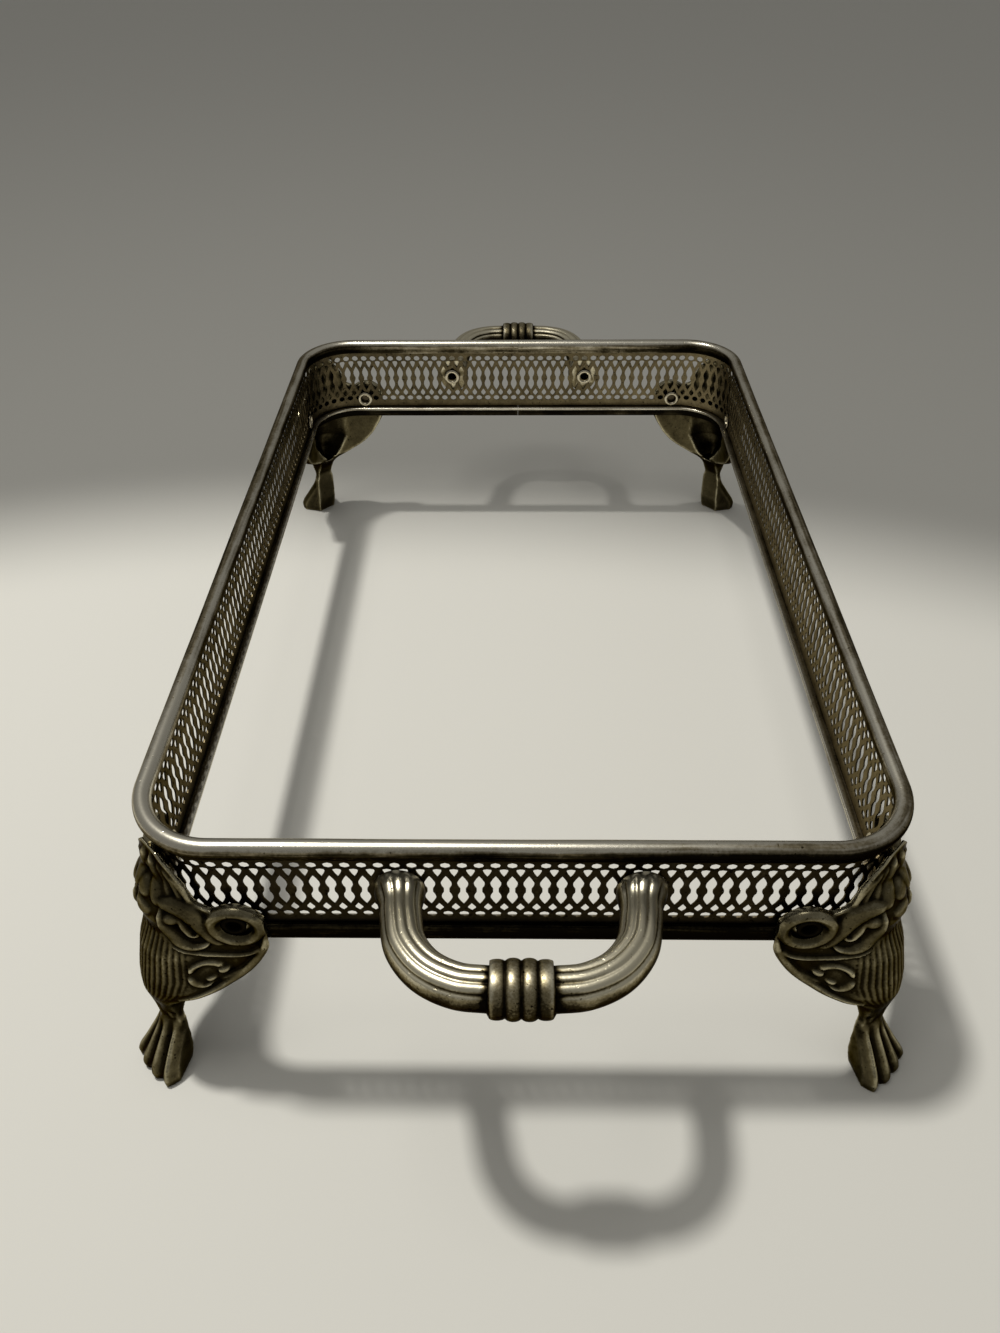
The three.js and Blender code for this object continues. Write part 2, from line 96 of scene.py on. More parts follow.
def makeObject(name, points, faces):
    # points are in millimetres, with heights counted from the bead
    mesh = bpy.data.meshes.new(name)
    placed = (np.asarray(points, float) - [0, 0, tableLevel]) * mm
    mesh.from_pydata(placed.tolist(), [], faces)
    mesh.update()
    return placeObject(name, mesh)


def newMaterial(name):
    material = bpy.data.materials.new(name)
    material.use_nodes = True
    material.node_tree.nodes.clear()
    return material, material.node_tree


def storeValues(piece, name, values):
    # keeps a number or a vector at each point, for a finish to read
    values = np.asarray(values, np.float32)
    kind, field = ("FLOAT", "value") if values.ndim == 1 else ("FLOAT_VECTOR", "vector")
    layer = piece.data.attributes.new(name, kind, "POINT")
    layer.data.foreach_set(field, values.ravel())


def ringsRound(centres, side, up, reach, lift):
    # rings of points round a line of centres, by how far each point goes to the side and up
    return centres[:, None] + reach[..., None] * side[:, None] + lift[..., None] * up[:, None]


def readVectors(mesh, field):
    values = np.zeros(len(mesh.vertices) * 3)
    mesh.vertices.foreach_get(field, values)
    return values.reshape(-1, 3)


def pointsOf(piece):
    return readVectors(piece.data, "co") / mm + [0, 0, tableLevel]


def tableValue(table, at):
    # reads a table of (place, value) pairs
    return np.interp(at, *zip(*table))


def unit(vectors):
    return vectors / np.linalg.norm(vectors, axis=1)[:, None]


def fullTurn(count):
    return np.arange(count) * 2 * np.pi / count


def runAlong(line):
    # distance from the first point of a line to each of its points
    return np.concatenate([[0], np.cumsum(np.linalg.norm(np.diff(line, axis=0), axis=1))])


def offsetFromFrame(points):
    # how far points lie outside the frame's centre line
    beyond = np.maximum(np.abs(points[:, :2]) - [cornerX, cornerY], 0)
    return np.hypot(*beyond.T) - holder["corner"]


def makeOutward(piece):
    # merges doubles and turns every face outwards
    work = bmesh.new()
    work.from_mesh(piece.data)
    bmesh.ops.remove_doubles(work, verts=work.verts, dist=1e-6)
    bmesh.ops.recalc_face_normals(work, faces=work.faces)
    work.to_mesh(piece.data)
    work.free()
    piece.data.update()


def bakeModifiers(piece):
    # turns what the modifiers make into a plain mesh and takes them off
    seen = piece.evaluated_get(bpy.context.evaluated_depsgraph_get())
    mesh = bpy.data.meshes.new_from_object(seen)
    old = piece.data
    piece.modifiers.clear()
    piece.data = mesh
    mesh.name = piece.name
    bpy.data.meshes.remove(old)


def skin(grid, joined=False):
    # points and faces over rings of points; the last ring joins the first one, or both ends get a cap
    rows, columns = grid.shape[:2]
    faces = []
    for r in range(rows if joined else rows - 1):
        a, b = r * columns, (r + 1) % rows * columns
        faces += [(a + c, a + (c + 1) % columns, b + (c + 1) % columns, b + c) for c in range(columns)]
    if not joined:
        faces.append(tuple(range(columns))[::-1])
        faces.append(tuple(range((rows - 1) * columns, rows * columns)))
    return grid.reshape(-1, 3), faces


def bell(distance):
    # 1 in the middle, falling smoothly to 0 at a distance of 1
    return (1 + np.cos(np.pi * np.minimum(np.abs(distance), 1))) / 2


def roundTheFrame(distance, offset, height):
    # points by their distance round the centre line, counted anticlockwise from the middle of the long side at +X
    quarter = perimeter / 4
    turn = np.floor(distance / quarter + 1e-9)
    rest = distance - turn * quarter
    local = np.where(turn % 2 == 1, quarter - rest, rest)
    point = byTheCorner(local - cornerY - halfArc, offset, height)
    right, back = np.isin(turn % 4, (0, 3)), turn % 4 < 2
    return point * np.stack([2 * right - 1, 2 * back - 1, 0 * turn + 1], -1)


def byTheCorner(along, offset, height):
    # along is the way round from the middle of the corner, positive towards the short side
    along, offset, height = np.broadcast_arrays(along, offset, height)
    past = np.maximum(np.abs(along) - halfArc, 0)
    angle = math.pi / 4 + np.clip(along, -halfArc, halfArc) / holder["corner"]
    reach = holder["corner"] + offset
    x = np.where(along > halfArc, cornerX - past, cornerX + reach * np.cos(angle))
    y = np.where(along < -halfArc, cornerY - past, cornerY + reach * np.sin(angle))
    return np.stack([x, y, height], -1)


def softenSection(points, cut=0.22, passes=2):
    # cuts the corners of a closed section, which stays inside its old outline
    points = np.asarray(points, float)
    for _ in range(passes):
        after = np.roll(points, -1, 0)
        points = np.stack([points * (1 - cut) + after * cut, points * cut + after * (1 - cut)], 1).reshape(-1, 2)
    return points


def smoothLine(points, count, fineness=25):
    # an even run of points on a centripetal curve through the given ones
    points = np.asarray(points, float)
    ends = np.vstack([2 * points[0] - points[1], points, 2 * points[-1] - points[-2]])
    out = []
    for i in range(1, len(ends) - 2):
        p = ends[i - 1:i + 3]
        gap = np.sqrt(np.linalg.norm(np.diff(p, axis=0), axis=1)) + 1e-6
        t = np.concatenate([[0], np.cumsum(gap)])
        x = np.linspace(t[1], t[2], fineness, endpoint=i == len(ends) - 3)[:, None]
        # each round blends neighbours by where x lies between their ends
        for low, high, blends in ((0, 1, 3), (0, 2, 2), (1, 2, 1)):
            p = [((t[high + k] - x) * p[k] + (x - t[low + k]) * p[k + 1]) / (t[high + k] - t[low + k])
                 for k in range(blends)]
        out.append(p[0])
    line = np.vstack(out)
    run = runAlong(line)
    return np.stack([np.interp(np.linspace(0, run[-1], count), run, values) for values in line.T], 1)


def markRelief(piece, passes, scale):
    # stores how far each point stands proud of its surroundings: 0.5 is level, 0 a hollow and 1 a high edge
    mesh = piece.data
    count = len(mesh.vertices)
    edges = np.zeros(len(mesh.edges) * 2, np.int64)
    mesh.edges.foreach_get("vertices", edges)
    edges = edges.reshape(-1, 2)
    start, end = np.concatenate([edges, edges[:, ::-1]]).T
    share = np.maximum(np.bincount(start, minlength=count), 1)
    place = readVectors(mesh, "co")
    calm = place
    for _ in range(passes):
        calm = np.stack([np.bincount(start, calm[end, k], count) for k in range(3)], 1) / share[:, None]
    height = ((place - calm) * readVectors(mesh, "normal")).sum(1) / (scale * mm)
    value = np.clip(0.5 + 0.5 * height, 0, 1)
    for _ in range(2):
        value = 0.5 * value + 0.5 * np.bincount(start, value[end], count) / share
    storeValues(piece, "relief", value)


# finishes

def noise(tree, place, size, detail):
    # a cloudy pattern with patches about that many millimetres across; detail is its levels and its roughness
    levels, roughness = detail
    settings = {"Scale": 1000 / size, "Detail": levels, "Roughness": roughness, "Vector": place}
    return addNode(tree, "ShaderNodeTexNoise", settings)


def attribute(tree, name, output="Fac"):
    return addNode(tree, "ShaderNodeAttribute", {"attribute_name": name}).outputs[output]


# what the finishes share unless they say otherwise: sizes in millimetres, pits where their pattern is over pitFrom
plainWear = {"cloudDetail": (5, 0.6), "speckDetail": (3, 0.7), "streakDetail": (3, 0.5), "pitDetail": (2, 0.5),
             "speckSize": 0.8, "pitSize": 1.2, "pitFrom": 0.66, "pitEdge": 0.07, "pitSink": 1.5, "pitDepth": 0.05,
             "bump": 0.3}


def wornMetal(name, look):
    # plate over brass: clean metal on the high parts, brown-black tarnish in the hollows, fine pits all over; a stored
    # tone adds wear, painted highlight and painted shade
    look = {**plainWear, **look}
    material, tree = newMaterial(name)
    place = addNode(tree, "ShaderNodeTexCoord").outputs["Object"]
    patterns = [("relief", attribute(tree, "relief")),
                ("cloud", noise(tree, place, look["cloudSize"], look["cloudDetail"])),
                ("speck", noise(tree, place, look["speckSize"], look["speckDetail"]))]
    if "streakShare" in look:
        # rubbing leaves streaks a few millimetres long that follow the piece, whose path is stored in millimetres
        scale = (1 / look["streakLength"], 1 / look["streakWidth"], 1)
        stretched = addNode(tree, "ShaderNodeMapping", {"Scale": scale, "Vector": attribute(tree, "path", "Vector")})
        patterns.append(("streak", noise(tree, stretched, 1000, look["streakDetail"])))
    level = look["cleanAndLit"] - 0.5 * sum(look[kind + "Share"] for kind, _ in patterns)
    # the stored tone lifts or lowers the metal: wear, painted highlight and painted shade
    cleanAndLit = calc(tree, "ADD", attribute(tree, "rubbed"), level)
    for kind, pattern in patterns:
        cleanAndLit = calc(tree, "MULTIPLY_ADD", pattern, look[kind + "Share"], cleanAndLit)
    # pits where the plate has gone
    pit = addNode(tree, "ShaderNodeMapRange", {
        "From Min": look["pitFrom"], "From Max": look["pitFrom"] + look["pitEdge"],
        "Value": noise(tree, place, look["pitSize"], look["pitDetail"])})
    cleanAndLit = calc(tree, "MULTIPLY_ADD", pit, -look["pitShare"], cleanAndLit)
    ramp = addNode(tree, "ShaderNodeValToRGB", {"Fac": cleanAndLit})
    stops = ramp.color_ramp.elements
    while len(stops) < len(look["colours"]):
        stops.new(0.5)
    for stop, (at, colour) in zip(stops, look["colours"]):
        stop.position = at
        stop.color = linear(colour)
    dull, bright = look["roughness"]
    roughness = addNode(tree, "ShaderNodeMapRange", {"To Min": dull, "To Max": bright, "Value": cleanAndLit})
    grain = noise(tree, place, look["speckSize"], look["pitDetail"])
    height = calc(tree, "MULTIPLY_ADD", pit, -look["pitSink"], grain)
    bump = addNode(tree, "ShaderNodeBump",
                   {"Strength": look["bump"], "Distance": look["pitDepth"] * mm, "Height": height})
    # the tint keeps tarnished metal from going white at grazing angles
    shader = addNode(tree, "ShaderNodeBsdfPrincipled", {
        "Metallic": 1.0, "Specular Tint": linear("#b4b0a8"), "Base Color": ramp, "Roughness": roughness,
        "Normal": bump})
    addNode(tree, "ShaderNodeOutputMaterial", {"Surface": shader})
    return material


# Rolled and drawn silver plate on brass, lighter along the top from wear by handling and painted highlight, grey-brown
# where it isn't.
rimPlate = wornMetal("rolled silver plate, rubbed", {
    "colours": [(0, "#0f0c07"), (0.3, "#352f20"), (0.6, "#877d66"), (1, "#e0dac8")],
    "cleanAndLit": 0.52, "reliefShare": 0.4, "cloudSize": 16, "cloudShare": 0.9, "speckSize": 1, "speckShare": 0.4,
    "streakShare": 0.8, "streakLength": 22, "streakWidth": 0.9,
    "roughness": (0.46, 0.27), "pitSize": 1.3, "pitFrom": 0.68, "pitShare": 0.4, "pitDepth": 0.06})
# Punched plated sheet, dulled by smoke and old polish; nearly black outside from tarnish and painted shade, brown-grey
# inside where painted light lifts it.
stripPlate = wornMetal("punched plated sheet, tarnished", {
    "colours": [(0, "#0f0c08"), (0.35, "#2e281c"), (0.65, "#6d6249"), (1, "#988b6b")],
    "cleanAndLit": 0.2, "reliefShare": 0.2, "cloudSize": 9, "cloudShare": 0.55, "speckSize": 0.9, "speckShare": 0.35,
    "roughness": (0.45, 0.36), "pitSize": 1.4, "pitFrom": 0.64, "pitShare": 0.3})
# Cast and plated feet: blackened hollows, worn edges.
footCasting = wornMetal("cast plated alloy, blackened hollows", {
    "colours": [(0, "#070502"), (0.35, "#231e12"), (0.62, "#5f573f"), (1, "#c8bf9f")],
    "cleanAndLit": 0.42, "reliefShare": 1.5, "cloudSize": 10, "cloudShare": 0.55, "speckShare": 0.25,
    "roughness": (0.42, 0.22), "pitSize": 1.3, "pitFrom": 0.68, "pitShare": 0.35, "pitDepth": 0.07, "bump": 0.35})
# Cast and plated handle: pitted, bright on the reeds.
handleCasting = wornMetal("cast plated handle, pitted", {
    "colours": [(0, "#0f0c07"), (0.3, "#342d1e"), (0.6, "#8c8163"), (1, "#e0d8bd")],
    "cleanAndLit": 0.6, "reliefShare": 1.7, "cloudSize": 8, "cloudShare": 0.7, "speckSize": 0.7, "speckShare": 0.6,
    "roughness": (0.44, 0.36), "pitSize": 1, "pitShare": 0.4, "pitDepth": 0.08, "bump": 0.4})
# Drawn tubular rivets with a dull turned-over flange.
rivetTube = wornMetal("tubular rivet, dull", {
    "colours": [(0, "#1d170e"), (0.4, "#6d6350"), (0.7, "#aaa088"), (1, "#cfc6ae")],
    "cleanAndLit": 0.62, "reliefShare": 0.8, "cloudSize": 5, "cloudShare": 0.4, "speckShare": 0.35,
    "roughness": (0.42, 0.26), "pitShare": 0.3})
# The rivet's end in the eye of a foot, painted black for the shade deep in the eye.
rivetEyeShade = wornMetal("tubular rivet, blackened", {
    "colours": [(0, "#060503"), (0.5, "#14110b"), (1, "#2b261c")],
    "cleanAndLit": 0.3, "reliefShare": 0.5, "cloudSize": 5, "cloudShare": 0.4, "speckShare": 0.3,
    "roughness": (0.6, 0.5), "pitShare": 0.2})


def paintLightByFacing(piece, look):
    # painted light and shade by facing: what looks up is painted lighter, what looks down or outwards painted dark,
    # faces turned in towards the frame a little lighter, and, where given, upward faces lighter or darker by how far
    # across
    facing, spots = readVectors(piece.data, "normal"), pointsOf(piece)
    inwards = -(facing[:, :2] * np.sign(spots[:, :2])).sum(1) / math.sqrt(2)
    rubbed = tableValue(look["rubbed"], facing[:, 2]) + look.get("inwardFacingLighter", 0) * np.clip(inwards, 0, 1)
    if "paintedHighlightAcross" in look:
        rubbed += tableValue(look["paintedHighlightAcross"], np.abs(spots[:, 0])) * np.clip(facing[:, 2], 0, 1)
    storeValues(piece, "rubbed", rubbed)


def finishPiece(piece, materials, nodes, sharpAngle, passes=12, scale=0.5):
    piece.data.polygons.foreach_set("use_smooth", [True] * len(piece.data.polygons))
    piece.data.set_sharp_from_angle(angle=math.radians(sharpAngle))
    markRelief(piece, passes, scale)
    piece.data.materials.clear()
    for material in materials:
        piece.data.materials.append(material)
    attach(piece, "root")
    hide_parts(*nodes)


# rim

rim = {
    "radius": 2.85,
    "beadFrom": -35, "beadSweep": 250, "beadSteps": 26,  # degrees round the bead
    "lip": [(0.8, -3.7), (1.15, -3.8), (1.45, -3.75), (1.6, -3.3), (1.75, -2.75), (2.05, -2.1)],
    "slot": (0.8, -1.9),
    "waves": [(97, 0.10, 0.3), (41, 0.05, 1.9), (173, 0.09, 4)],  # length, depth and phase of its unevenness
    # how much lighter it is by height and by offset: lighter on top from wear and painted highlight, painted shade
    # under the bead and on the outer side
    "wearAndShadeByHeight": [(-3.8, -0.9), (-1, -0.9), (0.9, -0.7), (1.8, 0), (2.7, 0.12)],
    "tarnishAndShadeByOffset": [(-3, 0.6), (-1.2, 0.45), (0, 0.05), (3, 0)],
    # and by how far round the frame, from the middle of the side at +X: painted highlight at the near left and the far
    # end, painted shade between
    "paintedHighlightRound": [(0, -0.26), (0.16, -0.14), (0.21, 0.26), (0.3, 0.22), (0.35, -0.16), (0.5, -0.32), (0.6, -0.1),
                    (0.65, 0.45), (0.77, 0.3), (0.81, 0), (0.86, -0.14), (1, -0.26)],
}
# both swept pieces: butt seam in the far short side, length of a step, and how unevenness narrows and lowers a section
sweep = {"seam": 0.16, "step": 1.8, "narrows": 1 / 6, "lowers": 0.5}


def sweepFrame(name, section, settings):
    # bends a section of (offset, height) points round the frame, from one side of the seam to the other
    start = perimeter / 4 + sweep["seam"] / 2
    distances = np.linspace(start, start + perimeter - sweep["seam"], int(perimeter / sweep["step"]))[:, None]
    sink = sum(depth * (1 + np.sin(2 * np.pi * distances / length + phase)) / 2
               for length, depth, phase in settings["waves"])
    out, up = section.T
    grid = roundTheFrame(np.mod(distances, perimeter), out * (1 - sink * sweep["narrows"]), up - sink * sweep["lowers"])
    piece = makeObject(name, *skin(grid))
    makeOutward(piece)
    path = np.zeros(grid.shape)
    path[..., 0] = distances
    path[..., 1] = runAlong(section)
    storeValues(piece, "path", path)
    # the stored tone: wear, painted highlight and painted shade by height, offset and way round the frame
    rubbed = tableValue(settings["wearAndShadeByHeight"], up) + tableValue(settings["tarnishAndShadeByOffset"], out)
    paintedHighlightRound = tableValue(settings.get("paintedHighlightRound", [(0, 0)]), np.mod(distances / perimeter, 1))
    storeValues(piece, "rubbed", (rubbed + paintedHighlightRound).ravel())
    return piece


def beadSection():
    lip = rim["lip"]
    angles = np.radians(rim["beadFrom"] + rim["beadSweep"] * np.linspace(0, 1, rim["beadSteps"] + 1))
    arc = [(rim["radius"] * math.cos(a), rim["radius"] * math.sin(a)) for a in angles]
    slot, top = rim["slot"]
    return np.array(lip + arc + [(-u, z) for u, z in reversed(lip)] + [(-slot, top), (slot, top)])


topRim = sweepFrame("top_rim_rolled", beadSection(), rim)
finishPiece(topRim, [rimPlate], ["top_rim"], 35)
print("rim made")


# rail

rail = {
    "section": [[0.8, -34.8], [0.8, -34], [1.3, -33.9], [1.9, -34.2], [2.2, -35.4], [2.2, -38.6], [1.8, -40.4],
                [0.9, -41.2], [0.2, -40.7], [0.1, -36.4], [-2.9, -36.3], [-3.5, -35.6], [-3.5, -35], [-3.1, -34.6],
                [-1.7, -34.6], [-1.3, -34.8]],
    "waves": [(120, 0.05, 0.6), (37, 0.04, 2.9)],
    # painted light and shade: the ledge's top a little lighter, the outer skirt dark from tarnish and painted shade
    "wearAndShadeByHeight": [(-41, -0.1), (-36, 0), (-34.5, 0.1)],
    "tarnishAndShadeByOffset": [(-3.5, 0.3), (-2, 0.2), (0.5, -0.5), (2.2, -0.6)],
}
bottomRail = sweepFrame("bottom_rail_drawn", softenSection(rail["section"]), rail)
finishPiece(bottomRail, [rimPlate], ["bottom_rail"], 35)
print("rail made")


# pierced strip

strip = {
    "cells": 228, "top": -2.2, "foot": -34.5, "halfThick": 0.28,
    # upper right quarter of the tall opening about its middle, then the right halves of the drop and the diamond
    "tall": [(0, 6.8), (0.75, 5.6), (1.5, 4), (1.6, 2.7), (1.3, 1.5), (0.8, 0.55)], "tallAt": -18.5,
    "oval": (1.6, 1.4), "ovalsAt": (-7.2, -29.8),
    "drop": [(0, 1.75), (1.1, 1.5), (1.35, 0.7), (0.75, -0.9), (0, -2.2)], "dropAt": -10.3,
    "diamond": [(0, 2.1), (1.25, 0.3), (1.1, -0.8), (0, -1.9)], "diamondAt": -26.6,
    "rivetHole": 3.3, "drillReach": 3, "drillSides": 24, "pathSteps": 912, "weld": 2e-5,
    "insidePaintedLight": [(-111, 0.24), (0, 0.3), (111, 0.46)],  # by how far across: painted light, strongest on the inner face at +X, which faces the lamp
}
pitch = perimeter / strip["cells"]


def inSheet(x, z, points, edges):
    # a spot is in the sheet if a line from it towards +X crosses an odd number of edges
    inside = False
    for start, end in edges:
        (x0, z0), (x1, z1) = points[start], points[end]
        if (z0 > z) != (z1 > z) and x < (x1 - x0) * (z - z0) / (z1 - z0) + x0:
            inside = not inside
    return inside


def cellOfStrip():
    # one flat cell: a tall opening and two ovals in the middle, half a drop and half a diamond at each side
    half = pitch / 2
    drop = [(half - x, strip["dropAt"] + z) for x, z in strip["drop"]]
    diamond = [(half - x, strip["diamondAt"] + z) for x, z in strip["diamond"]]
    right = [(half, strip["foot"])] + diamond[::-1] + drop[::-1] + [(half, strip["top"])]
    tall = [(x, strip["tallAt"] + z) for x, z in strip["tall"] + [(x, -z) for x, z in reversed(strip["tall"])]]
    loops = [right + [(-x, z) for x, z in reversed(right)], tall + [(-x, z) for x, z in reversed(tall[1:-1])]]
    wide, high = strip["oval"]
    for middle in strip["ovalsAt"]:
        loops.append([(wide * math.cos(a), middle + high * math.sin(a)) for a in fullTurn(8)])
    points, edges = [], []
    for loop in loops:
        edges += [(len(points) + i, len(points) + (i + 1) % len(loop)) for i in range(len(loop))]
        points += loop
    made, _, faces, *_ = delaunay_2d_cdt([Vector(p) for p in points], edges, [], 0, 1e-5)
    spots = np.array([(p.x, 0, p.y) for p in made])
    return spots, [face for face in faces if inSheet(*spots[list(face)].mean(0)[[0, 2]], points, edges)]


def framePath():
    # the centre line as a closed curve, for the nodes to bend the strip along
    curve = bpy.data.curves.new("strip_path", "CURVE")
    curve.dimensions = "3D"
    line = curve.splines.new("POLY")
    spots = roundTheFrame(np.arange(strip["pathSteps"]) * perimeter / strip["pathSteps"], 0, 0) * mm
    line.points.add(len(spots) - 1)
    for point, spot in zip(line.points, spots):
        point.co = (*spot, 1)
    line.use_cyclic_u = True
    return placeObject("strip_path", curve)


def nodeGroup(name, inputs, output):
    # an empty group of geometry nodes with named inputs, and what its inputs give
    tree = bpy.data.node_groups.new(name, "GeometryNodeTree")
    for label, kind in inputs.items():
        tree.interface.new_socket(name=label, in_out="INPUT", socket_type="NodeSocket" + kind)
    tree.interface.new_socket(name=output, in_out="OUTPUT", socket_type="NodeSocketGeometry")
    return tree, addNode(tree, "NodeGroupInput").outputs


def closeGroup(tree, shape, finish):
    # realizes what the group has made, and gives it its finish
    realized = addNode(tree, "GeometryNodeRealizeInstances", {0: shape})
    finished = addNode(tree, "GeometryNodeSetMaterial", {"Geometry": realized, "Material": finish})
    addNode(tree, "NodeGroupOutput", {0: finished})


def stripNodes():
    # repeats the cell in a row, bends the row along the path and gives it its thickness
    tree, given = nodeGroup("piercedStrip", {"Cell": "Geometry", "Path": "Object", "Cells": "Int", "Pitch": "Float",
                                             "Thickness": "Float", "Finish": "Material"}, "Strip")
    step = addNode(tree, "ShaderNodeCombineXYZ", {"X": given["Pitch"]})
    start = vectorCalc(tree, "MULTIPLY", step, (0.5, 0, 0))
    row = addNode(tree, "GeometryNodeMeshLine",
                  {"mode": "OFFSET", "Count": given["Cells"], "Start Location": start, "Offset": step})
    cells = addNode(tree, "GeometryNodeInstanceOnPoints", {"Points": row, "Instance": given["Cell"]})
    joined = addNode(tree, "GeometryNodeRealizeInstances", {0: cells})
    # how far along the row a point is tells its place on the path
    spot = addNode(tree, "ShaderNodeSeparateXYZ", {0: addNode(tree, "GeometryNodeInputPosition")}).outputs
    share = calc(tree, "DIVIDE", spot["X"], calc(tree, "MULTIPLY", given["Cells"], given["Pitch"]))
    curve = addNode(tree, "GeometryNodeObjectInfo", {"Object": given["Path"]}).outputs["Geometry"]
    onPath = addNode(tree, "GeometryNodeSampleCurve",
                     {"mode": "FACTOR", "use_all_curves": True, "Curves": curve, "Factor": share}).outputs
    outward = vectorCalc(tree, "NORMALIZE", vectorCalc(tree, "CROSS_PRODUCT", onPath["Tangent"], (0, 0, 1)))
    height = addNode(tree, "ShaderNodeCombineXYZ", {"Z": spot["Z"]})
    middle = vectorCalc(tree, "ADD", onPath["Position"], height)
    inset = calc(tree, "MULTIPLY", given["Thickness"], -0.5)
    inner = vectorCalc(tree, "MULTIPLY_ADD", outward, inset, middle)
    bent = addNode(tree, "GeometryNodeSetPosition", {"Geometry": joined, "Position": inner})
    # the inner sheet is pushed out to the outer one, then joined with its own back
    welded = addNode(tree, "GeometryNodeMergeByDistance", {"Geometry": bent, "Distance": strip["weld"]})
    outer = addNode(tree, "GeometryNodeExtrudeMesh",
                    {"mode": "FACES", "Individual": False, "Mesh": welded, "Offset Scale": given["Thickness"]})
    back = addNode(tree, "GeometryNodeFlipFaces", {0: welded})
    both = addNode(tree, "GeometryNodeJoinGeometry", {0: outer})
    tree.links.new(back.outputs[0], both.inputs[0])
    closed = addNode(tree, "GeometryNodeMergeByDistance", {"Geometry": both, "Distance": strip["weld"]})
    closeGroup(tree, closed, given["Finish"])
    return tree


def runNodes(piece, tree, values):
    modifier = piece.modifiers.new(tree.name, "NODES")
    modifier.node_group = tree
    for socket in tree.interface.items_tree:
        if socket.item_type == "SOCKET" and socket.in_out == "INPUT" and socket.name in values:
            modifier[socket.identifier] = values[socket.name]
    bakeModifiers(piece)


def rivetSpots():
    # node name, place on the strip, direction out of the frame, and whether it goes through a foot
    spots = []
    for corner, x, y in corners:
        for part, along, out in (("end", rivet["footAlong"], [0, y, 0]), ("flank", -rivet["footAlong"], [x, 0, 0])):
            place = byTheCorner(along, 0, rivet["footHeight"]) * [x, y, 1]
            spots.append((f"foot_rivet_{corner}_{part}", place, np.array(out, float), True))
        place = np.array([x * rivet["handleAcross"], y * holder["halfAlong"], rivet["handleHeight"]])
        spots.append((f"handle_rivet_{corner}", place, np.array([0.0, y, 0]), False))
    return spots


rivet = {
    "footAlong": 21.9, "footHeight": -30.4, "handleAcross": 36, "handleHeight": -17.5,
    "bore": 2.2, "shank": 2.95, "flange": 3.9, "head": 3.8, "footSeat": 4.3, "handleEnd": 4.2, "sides": 40,
    # how far out a foot's rivet is painted black for the shade in the eye
    "eyeShadeFrom": 1.5,
    "floors": (0.9, 2.6),  # a foot's rivet is blind: where its bore ends, from inside and from outside
}


def drill(start, end, radius, sides=40):
    # a cylinder to cut with
    up = np.array([0, 0, 1.0])
    side = np.cross((end - start) / np.linalg.norm(end - start), up)
    angles = fullTurn(sides)[:, None]
    ring = radius * (np.cos(angles) * side + np.sin(angles) * up)
    piece = makeObject("drill", *skin(np.stack([start + ring, end + ring])))
    makeOutward(piece)
    return piece


def cutAway(piece, cutters):
    for cutter in cutters:
        cut = piece.modifiers.new("bore", "BOOLEAN")
        cut.operation = "DIFFERENCE"
        cut.solver = "MANIFOLD"
        cut.object = cutter
    bakeModifiers(piece)
    for cutter in cutters:
        bpy.data.objects.remove(cutter)


def makeStrip():
    piece = makeObject("pierced_gallery_strip", *cellOfStrip())
    path = framePath()
    runNodes(piece, stripNodes(), {"Path": path, "Cells": strip["cells"], "Pitch": pitch * mm,
                                   "Thickness": 2 * strip["halfThick"] * mm, "Finish": stripPlate})
    bpy.data.objects.remove(path)
    makeOutward(piece)
    reach = strip["drillReach"]
    cutAway(piece, [drill(place - reach * out, place + reach * out, strip["rivetHole"], strip["drillSides"])
                    for _, place, out, _ in rivetSpots()])
    spots = pointsOf(piece)
    # painted light on the faces inside the frame, growing towards +X; outside, the dark tone of tarnish and painted
    # shade stays
    paintedInsideLight = tableValue(strip["insidePaintedLight"], spots[:, 0])
    storeValues(piece, "rubbed", np.where(offsetFromFrame(spots) < 0, paintedInsideLight, 0.0))
    return piece


gallery = makeStrip()
finishPiece(gallery, [stripPlate], ["pierced_gallery"], 30, passes=2, scale=0.4)
print("strip made,", len(gallery.data.polygons), "faces")


# rivets

def rivetSection(inFoot):
    # radius and distance along the rivet, from the rolled flange inside the frame outwards
    bore, shank, flange, head = rivet["bore"], rivet["shank"], rivet["flange"], rivet["head"]
    flangePart = [(bore, -1.0), (bore + 0.35, -1.35), (bore + 0.9, -1.5), (flange - 0.3, -1.35), (flange, -1.1),
                  (flange - 0.05, -0.85), (shank, -0.8)]
    if not inFoot:
        return np.array(flangePart + [(shank, rivet["handleEnd"]), (bore, rivet["handleEnd"])])
    seat = rivet["footSeat"]
    nearFloor, farFloor = rivet["floors"]
    headPart = [(shank, seat), (head - 0.1, seat), (head, seat + 0.25), (head - 0.3, seat + 0.55),
                (head - 0.9, seat + 0.7), (bore + 0.35, seat + 0.6), (bore, seat + 0.3)]
    return np.array([(0.05, nearFloor), (bore - 0.2, nearFloor), (bore, nearFloor - 0.4)] + flangePart + headPart
                    + [(bore, farFloor + 0.3), (bore - 0.3, farFloor), (0.05, farFloor)])


def rivetNodes():
    # puts one turned rivet on each point, turned to the point's own direction
    inputs = {"Points": "Geometry", "Rivet": "Object", "Finish": "Material"}
    tree, given = nodeGroup("rivetsOnPoints", inputs, "Rivets")
    shape = addNode(tree, "GeometryNodeObjectInfo", {"Object": given["Rivet"]}).outputs["Geometry"]
    out = addNode(tree, "GeometryNodeInputNamedAttribute", {"data_type": "FLOAT_VECTOR", "Name": "outwards"})
    turn = addNode(tree, "FunctionNodeAlignRotationToVector", {"axis": "Z", "Vector": out})
    placed = addNode(tree, "GeometryNodeInstanceOnPoints",
                     {"Points": given["Points"], "Instance": shape, "Rotation": turn})
    closeGroup(tree, placed, given["Finish"])
    return tree


